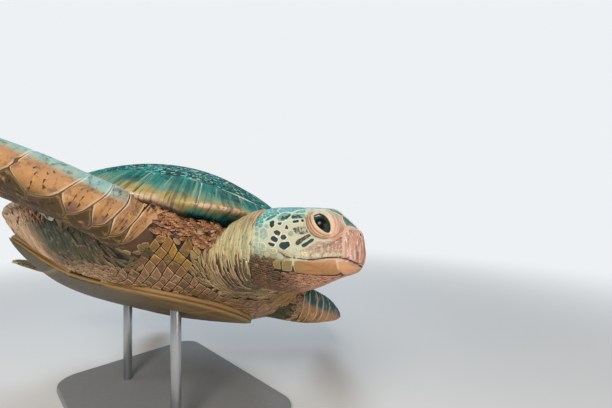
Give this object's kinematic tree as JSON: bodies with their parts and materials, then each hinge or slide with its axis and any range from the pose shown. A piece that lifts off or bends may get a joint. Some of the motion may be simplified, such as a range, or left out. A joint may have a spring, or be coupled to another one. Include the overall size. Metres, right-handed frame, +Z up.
{
  "type": "green sea turtle model",
  "caption": "Life-size still model of a gliding green sea turtle, banked with its head turned, held over a flat plate by rods.",
  "frame": {"origin": "on the floor under the middle of the turtle's shell, at the plate's underside", "axes": "+Z up, +X the way the turtle heads, +Y to its left"},
  "size_m": [1.2342, 1.1517, 0.7209],
  "materials": {
    "shell": "horny shell plates, dark green with pale speckles and pale seams",
    "plastron": "smooth horny belly plates, cream to tan",
    "skin": "scaled and wrinkled skin, tan to reddish brown with pale seams",
    "eye": "wet, nearly black",
    "claw": "horn",
    "stand_plate": "satin pale grey paint",
    "stand_rod": "satin steel"
  },
  "bodies": {
    "root": {"carapace": "shell", "plastron": "plastron", "trunk": "skin", "neck": "skin", "head": "skin", "lower_jaw": "skin", "eye_left": "eye", "eye_right": "eye", "upper_arm_left": "skin", "upper_arm_right": "skin", "forearm_left": "skin", "forearm_right": "skin", "front_flipper_left": "skin", "front_flipper_right": "skin", "front_claw_left": "claw", "front_claw_right": "claw", "hind_leg_left": "skin", "hind_leg_right": "skin", "hind_flipper_left": "skin", "hind_flipper_right": "skin", "hind_claw_left": "claw", "hind_claw_right": "claw", "tail": "skin", "stand_base": "stand_plate", "stand_rod_front": "stand_rod", "stand_rod_rear": "stand_rod"}
  },
  "joints": []
}
